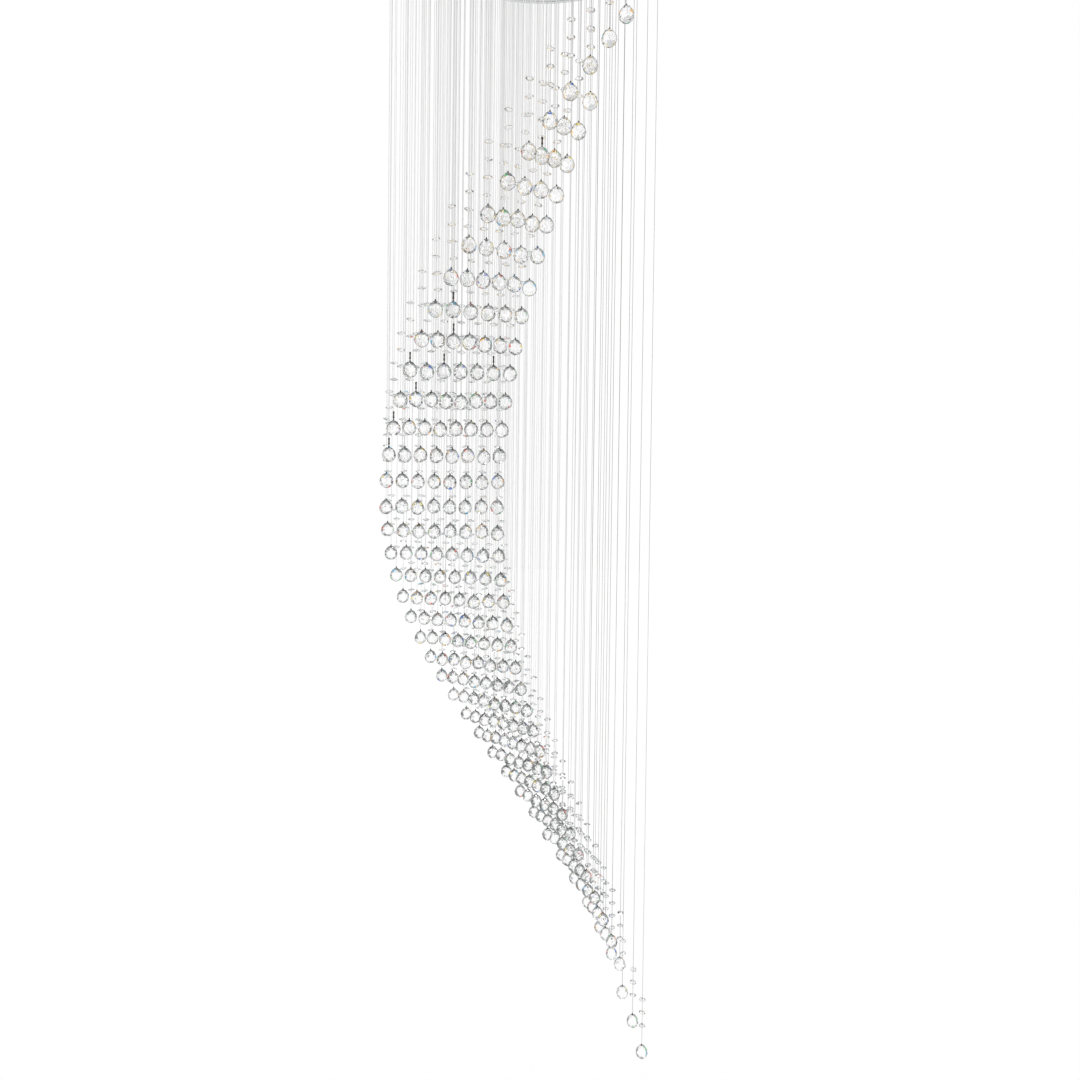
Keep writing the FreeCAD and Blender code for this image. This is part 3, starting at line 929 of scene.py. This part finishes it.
@dataclass
class Canopy:
    """The canopy's skirt, its thumbscrews and the terminal block's screws."""

    sheet: float = 1.5 * MM
    flange: float = 12 * MM
    edge: float = 3 * MM
    edge_steps: int = 6
    steps: int = 160
    skirt_crease: float = 30
    # Thumbscrews. The bevel is a share of the length, and face, crown and knurls of the radius.
    thumb_radius: float = 7 * MM
    thumb_length: float = 9 * MM
    thumb_face: float = 0.9
    thumb_bevel: float = 0.12
    thumb_crown: float = 0.86
    knurls: int = 20
    knurl_from: float = 0.95
    knurl_root: float = 0.93
    shank_radius: float = 2.5 * MM
    shank_sides: int = 16
    thumb_crease: float = 35
    # Terminal screws, two to a pole.
    poles: int = 3
    screw_inset: float = 10 * MM
    screw_radius: float = 2.6 * MM
    screw_crown: float = 2 * MM
    screw_height: float = 2.2 * MM
    screw_shoulder: float = 1.6 / 2.2
    screw_sides: int = 16
    screw_crease: float = 40

    def skirt(self) -> None:
        """Band with a rolled lower edge and an inward flange."""
        low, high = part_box("canopy_skirt")
        radius, turned = high.x, high.x - self.edge
        profile = [(radius - self.flange, low.z), (turned, low.z)]
        for step in range(1, self.edge_steps + 1):
            angle = FULL_TURN / 4 * step / self.edge_steps
            out, up = self.edge * math.sin(angle), self.edge * (1 - math.cos(angle))
            profile.append((turned + out, low.z + up))
        profile += [
            (radius, high.z),
            (radius - self.sheet, high.z),
            (radius - self.sheet, low.z + self.edge),
            (turned, low.z + self.sheet),
            (radius - self.flange, low.z + self.sheet),
        ]
        shape = bmesh.new()
        shape.from_mesh(revolve(profile, self.steps, closed=True))
        add_piece(
            "spun_canopy_skirt", shape, "root", MIRROR_STEEL, ["canopy_skirt"],
            self.skirt_crease,
        )

    def thumb_head(self) -> Mesh:
        """Head of a thumbscrew, with every other corner of its rim pressed in.

        Returns:
            The head, standing on the origin.
        """
        radius, length = self.thumb_radius, self.thumb_length
        profile = [
            (0, 0),
            (radius * self.thumb_face, 0),
            (radius, length * self.thumb_bevel),
            (radius, length * (1 - self.thumb_bevel)),
            (radius * self.thumb_crown, length),
            (0, length),
        ]
        head = revolve(profile, self.knurls * 2)
        for corner in head.vertices:
            flat = corner.co.xy
            tooth = round(math.atan2(flat.y, flat.x) / FULL_TURN * self.knurls * 2)
            if flat.length > radius * self.knurl_from and tooth % 2:
                corner.co.xy = flat * self.knurl_root
        return head

    def thumbscrews(self) -> None:
        """Knurled thumbscrews through the skirt."""
        head = self.thumb_head()
        shape = bmesh.new()
        for low, high in islands("side_screws"):
            middle = (low + high) / 2
            way = plan_middle(low, high).normalized()
            reach = max(abs(v) for v in (low.x, low.y, high.x, high.y))
            ends = (low.x, high.x) if abs(way.x) > abs(way.y) else (low.y, high.y)
            base = way * (reach - self.thumb_length) + raised(middle.z)
            foot = way * min(abs(end) for end in ends) + raised(middle.z)
            turn = way.to_track_quat("Z", "Y").to_matrix().to_4x4()
            stamp(shape, head, base, turn)
            bar(shape, foot, base, self.shank_radius, self.shank_sides)
        add_piece(
            "knurled_thumbscrews", shape, "root", CHROME, ["side_screws"],
            self.thumb_crease,
        )

    def terminal_screws(self) -> None:
        """Brass clamp screws in the terminal block's recesses."""
        low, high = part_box("terminal_block")
        shape = bmesh.new()
        pitch = (high.y - low.y) / self.poles
        screw = plug(
            self.screw_radius, self.screw_shoulder, self.screw_crown, self.screw_height,
            self.screw_sides,
        )
        for pole in range(self.poles):
            for side in (low.x + self.screw_inset, high.x - self.screw_inset):
                spot = Vector((side, low.y + (pole + 0.5) * pitch, low.z))
                stamp(shape, screw, spot, Matrix.Rotation(math.pi, 4, "X"))
        add_piece("terminal_screws", shape, "root", BRASS, soften=self.screw_crease)

    def build(self) -> None:
        """Builds the canopy's own pieces."""
        self.skirt()
        self.thumbscrews()
        self.terminal_screws()


# ---------- lamps


@dataclass
class Lamp:
    """One twist-lock reflector lamp. Its heights are counted from the front of its rim."""

    index: int
    steps: int = 48
    crease: float = 35
    # Rim and lens.
    rim_edge: float = 0.8 * MM
    rim_height: float = 4.5 * MM
    rim_back: float = 5.5 * MM
    bezel: float = 1 * MM
    lens_radius: float = 22 * MM
    lens_recess: float = 0.6 * MM
    prisms: int = 7
    prism_span: float = 7.5
    prism_heights: Span = (0.2 * MM, 0.9 * MM)
    # Reflector bowl, neck and locking pins.
    bowl_depth: float = 30.5 * MM
    bowl_bend: float = 1.5
    bowl_steps: int = 8
    neck_radius: float = 13.5 * MM
    height: float = 47 * MM
    pin_radius: float = 2.3 * MM
    pin_length: float = 6.5 * MM
    pin_offset: float = 5 * MM
    pin_level: float = 46.5 * MM
    pin_sides: int = 16

    def reflector(self, radius: float) -> Mesh:
        """Rim, bowl and neck, open at the lens.

        Args:
            radius: Radius of the rim.

        Returns:
            The spun mesh.
        """
        back = radius - self.rim_edge
        profile = [
            (self.lens_radius, self.lens_recess),
            (self.lens_radius + self.bezel, 0),
            (back, 0),
            (radius, self.rim_edge),
            (radius, self.rim_height),
            (back, self.rim_back),
        ]
        for step in range(1, self.bowl_steps + 1):
            share = step / self.bowl_steps
            inward = (back - self.neck_radius) * share**self.bowl_bend
            profile.append((back - inward, self.rim_back + self.bowl_depth * share))
        profile += [(self.neck_radius, self.height), (0, self.height)]
        return revolve(profile, self.steps)

    def lens(self) -> Mesh:
        """Lens with rings of small prisms.

        Returns:
            The spun mesh.
        """
        rings = [(0, self.prism_heights[0])]
        for step in range(1, self.prisms + 1):
            rings.append((self.lens_radius * step / self.prism_span, self.prism_heights[step % 2]))
        rings.append((self.lens_radius, self.lens_recess))
        return revolve(rings, self.steps)

    def bulb(self) -> None:
        """Reflector, locking pins and lens, in two finishes."""
        node = f"spot_bulb_{self.index}"
        low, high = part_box(node)
        middle = plan_middle(low, high)
        away = (middle - self.hub()).normalized()
        shape = bmesh.new()
        shape.from_mesh(self.reflector((high.x - low.x) / 2))
        for side in (-1, 1):
            spot = Vector((-away.y, away.x, 0)) * (self.pin_offset * side)
            foot = spot + raised(self.pin_level)
            bar(shape, foot, foot + raised(self.pin_length), self.pin_radius, self.pin_sides)
        body_faces = len(shape.faces)
        shape.from_mesh(self.lens())
        shape.faces.ensure_lookup_table()
        for face in shape.faces[body_faces:]:
            face.material_index = 1
            if face.normal.z > 0:
                face.normal_flip()
        bmesh.ops.remove_doubles(shape, verts=shape.verts[:], dist=SAME_SPOT)
        bmesh.ops.translate(shape, verts=shape.verts[:], vec=middle + raised(low.z))
        add_piece(
            f"reflector_lamp_{self.index}", shape, f"bulb_{self.index}", [REFLECTOR, LENS],
            [node], self.crease,
        )

    @staticmethod
    def hub() -> Vector:
        """Point in plan that the lamps' arc turns about, from its end and its middle lamp."""
        end, middle = (plan_middle(*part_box(f"spot_bulb_{index}")) for index in (1, 3))
        run = end.x - middle.x
        return Vector((middle.x + (run**2 + end.y**2) / (2 * run), 0, 0))


@dataclass
class LampFittings:
    """Trim rings and lampholders, which stay with the canopy."""

    steps: int = 64
    crease: float = 35
    # Trim rings: a sleeve through the plate, and a lip under it that thins outwards.
    trim_bore: float = 26.2 * MM
    trim_wall: float = 1.5 * MM
    bore_edge: Span = (0.6 * MM, 0.5 * MM)
    lip_start: Span = (2 * MM, 0.2 * MM)
    lip_edge: Span = (1 * MM, 0.6 * MM)
    lip_height: float = 2 * MM
    lip_side: float = 0.4 * MM
    # Lampholders: a ceramic body with a ring-shaped well in which the lamp's pins turn.
    holder_radius: float = 16 * MM
    holder_edge: float = 1 * MM
    holder_shoulder: float = 2 * MM
    well_radii: Span = (2 * MM, 8.2 * MM)
    well_depth: float = 6.7 * MM

    def trim(self, height: float) -> Mesh:
        """One trim ring.

        Args:
            height: From the lip's front to the sleeve's end.

        Returns:
            The spun mesh.
        """
        low, high = islands("lamp_trims")[0]
        lip = (high.x - low.x) / 2
        bore, collar = self.trim_bore, self.trim_bore + self.trim_wall
        bevel = self.lip_height - self.lip_side
        profile = [
            (bore, self.bore_edge[1]),
            (bore + self.bore_edge[0], 0),
            (collar + self.lip_start[0], self.lip_start[1]),
            (lip - self.lip_edge[0], bevel - self.lip_edge[1]),
            (lip, bevel),
            (lip, self.lip_height),
            (collar, self.lip_height),
            (collar, height),
            (bore, height),
        ]
        return revolve(profile, self.steps, closed=True)

    def holder(self, height: float) -> Mesh:
        """One lampholder.

        Args:
            height: Its whole height.

        Returns:
            The spun mesh.
        """
        inner, outer = self.well_radii
        radius, edge, shoulder = self.holder_radius, self.holder_edge, self.holder_shoulder
        profile = [
            (0, 0),
            (inner, 0),
            (inner, self.well_depth),
            (outer, self.well_depth),
            (outer, 0),
            (radius - edge, 0),
            (radius, edge),
            (radius, height - shoulder),
            (radius - shoulder, height),
            (0, height),
        ]
        return revolve(profile, self.steps)

    def build(self) -> None:
        """Builds the rings and holders of all lamps."""
        spots = [plan_middle(*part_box(f"spot_bulb_{index}")) for index in range(1, LAMP_COUNT + 1)]
        for name, node, spin, finish, slot in (
            ("chrome_lamp_trims", "lamp_trims", self.trim, CHROME, Slot.TRIM),
            ("ceramic_lampholders", "lampholders", self.holder, CERAMIC, Slot.CERAMIC),
        ):
            low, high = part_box(node)
            template, shape = spin(high.z - low.z), bmesh.new()
            for spot in spots:
                stamp(shape, template, spot + raised(low.z))
            add_piece(name, shape, "root", finish, [node], self.crease)


# ---------- stage


@dataclass
class Studio:
    """Pale floor, even white surroundings, one soft lamp and the camera."""

    # Floor.
    floor_level: float = -3.4
    floor_radius: float = 14.0
    floor_sides: int = 96
    floor_colour: str = "#BCBCBC"
    floor_roughness: float = 0.9
    floor_glow: float = 0.41
    # Surroundings. The dark cards stand at even turns, and card_ends sets their soft edges.
    world_strength: float = 0.9
    card_count: float = 4.0
    card_start: float = 0.6
    card_ends: Span = (0.2, 0.8)
    card_level: float = 0.5
    # Lamp.
    key_strength: float = 0.9
    key_spread: float = 25.0
    key_way: tuple[float, float, float] = (0.12, -0.25, -1.0)
    # Camera, fitted to the photograph's strands. Its picture is as wide as it is high.
    picture: int = 1080
    sensor: float = 36.0
    focal_pixels: float = 800.7
    eye: tuple[float, float, float] = (0.5707, -2.0072, -1.5314)
    yaw: float = 15.327
    pitch: float = -1.3
    roll: float = 0.711
    axis_row: float = 495.0

    @staticmethod
    def seen_directly(tree: Tree) -> Source:
        """Adds nodes that give 1 for camera, glossy and transmission rays.

        Args:
            tree: Node tree to add to.

        Returns:
            Node and output of the factor.
        """
        path = add_node(tree, "LightPath")
        pair = add_math(tree, "MAXIMUM", (path, "Is Camera Ray"), (path, "Is Glossy Ray"))
        return add_math(tree, "MAXIMUM", pair, (path, "Is Transmission Ray"))

    def dark_cards(self, tree: Tree) -> Source:
        """Adds nodes that darken parts of the surroundings, as cards beside a studio table do.

        Args:
            tree: Node tree of the world.

        Returns:
            Node and output of the level, from the cards' own to 1.
        """
        way = add_node(tree, "TexCoord")
        parts = add_node(tree, "SeparateXYZ", links={0: (way, "Generated")})
        heading = add_math(tree, "ARCTAN2", (parts, "Y"), (parts, "X"))
        turns = add_math(tree, "MULTIPLY_ADD", heading, self.card_count, self.card_start)
        wave = add_math(tree, "SINE", turns)
        return add_range(tree, wave, self.card_ends, (1.0, self.card_level))

    def world(self) -> None:
        """White surroundings at a plain level, with dark cards for reflections only."""
        world = bpy.data.worlds.new("studio")
        bpy.context.scene.world = world
        tree = fresh_tree(world)
        factor = self.seen_directly(tree)
        path = add_node(tree, "LightPath")
        light, backdrop = [
            add_node(tree, "Background", {"Color": linear(WHITE), "Strength": strength})
            for strength in (self.world_strength, 1.0)
        ]
        cards = add_node(
            tree, "Background", {"Color": linear(WHITE)}, {"Strength": self.dark_cards(tree)}
        )
        mirrored = add_math(
            tree, "SUBTRACT", (path, "Is Glossy Ray"), (path, "Is Transmission Ray")
        )
        mirrored[0].use_clamp = True
        seen = add_node(
            tree, "MixShader", links={0: mirrored, 1: (backdrop, 0), 2: (cards, 0)}
        )
        mix = add_node(tree, "MixShader", links={0: factor, 1: (light, 0), 2: (seen, 0)})
        add_node(tree, "OutputWorld", links={"Surface": (mix, 0)})

    def floor(self) -> None:
        """Pale matt floor that keeps a soft shadow, and isn't seen from below."""
        shape = bmesh.new()
        bmesh.ops.create_circle(
            shape,
            cap_ends=True,
            segments=self.floor_sides,
            radius=self.floor_radius,
            matrix=Matrix.Translation(raised(self.floor_level)),
        )
        mesh = bpy.data.meshes.new("studio_floor")
        shape.to_mesh(mesh)
        shape.free()
        made = bpy.data.materials.new("studio floor paint")
        tree = fresh_tree(made)
        glow = add_math(tree, "MULTIPLY", self.seen_directly(tree), self.floor_glow)
        shader = add_node(
            tree,
            "BsdfPrincipled",
            {
                "Base Color": linear(self.floor_colour),
                "Roughness": self.floor_roughness,
                "Emission Color": linear(WHITE),
            },
            {"Emission Strength": glow},
        )
        side = add_node(tree, "NewGeometry")
        unseen = add_node(tree, "BsdfTransparent")
        mix = add_node(
            tree, "MixShader", links={0: (side, "Backfacing"), 1: (shader, 0), 2: (unseen, 0)}
        )
        add_node(tree, "OutputMaterial", links={"Surface": (mix, 0)})
        mesh.materials.append(made)
        add_object("studio_floor", mesh)

    def lamp(self) -> None:
        """One large, far and soft lamp, high above and a little behind the chandelier."""
        light = bpy.data.lights.new("key", "SUN")
        light.angle = math.radians(self.key_spread)
        light.energy = self.key_strength
        holder = add_object("key", light)
        holder.visible_glossy = False
        holder.rotation_euler = Vector(self.key_way).to_track_quat("-Z", "Y").to_euler()

    def camera(self) -> None:
        """Camera that stands beside the spiral, almost level, with its axis above mid-picture."""
        data = bpy.data.cameras.new("view")
        data.sensor_fit = "HORIZONTAL"
        data.sensor_width = self.sensor
        data.lens = self.focal_pixels * self.sensor / self.picture
        data.shift_y = (self.axis_row - self.picture / 2) / self.picture
        camera = add_object("view", data)
        # A camera looks straight down at first, and a quarter turn more makes it level.
        tilt = FULL_TURN / 4 + math.radians(self.pitch)
        camera.matrix_world = (
            Matrix.Translation(self.eye)
            @ Matrix.Rotation(math.radians(self.yaw), 4, "Z")
            @ Matrix.Rotation(tilt, 4, "X")
            @ Matrix.Rotation(math.radians(self.roll), 4, "Z")
        )
        bpy.context.scene.camera = camera

    def build(self) -> None:
        """Sets up the whole studio."""
        bpy.context.scene.view_settings.view_transform = "Standard"
        self.world()
        self.floor()
        self.lamp()
        self.camera()


# ---------- all


KEPT_NODES = {
    "ceiling_bracket": ZINC_PLATE,
    "canopy_plate": MIRROR_STEEL,
    "tab_nuts": ZINC_PLATE,
    "cable_grommet": RUBBER,
    "terminal_block": NYLON,
    "earth_post": BRASS,
    "holder_straps": ZINC_PLATE,
    "lamp_leads": SILICONE,
}


def paint_nodes() -> None:
    """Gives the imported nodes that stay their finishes."""
    for name, finish in KEPT_NODES.items():
        mesh = frame["nodes"][name].data
        mesh.materials.clear()
        mesh.materials.append(finish.build())
        LOG.info("%s keeps its packed shape, in %s", name, finish.name)


def main() -> None:
    """Builds the chandelier's looks in order."""
    logging.basicConfig(level=logging.INFO, format="%(name)s: %(message)s")
    paint_nodes()
    Canopy().build()
    LampFittings().build()
    for index in range(1, LAMP_COUNT + 1):
        Lamp(index).bulb()
    bodies = sorted(name for name in frame["bodies"] if f"{name}_balls" in frame["nodes"])
    draw = random.Random(SEED)
    for body in bodies:
        Strands(body, draw).build()
    low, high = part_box("canopy_plate")
    StrandFixings(low.z, high.z, bodies).build()
    Studio().build()


if __name__ == "__main__":
    main()
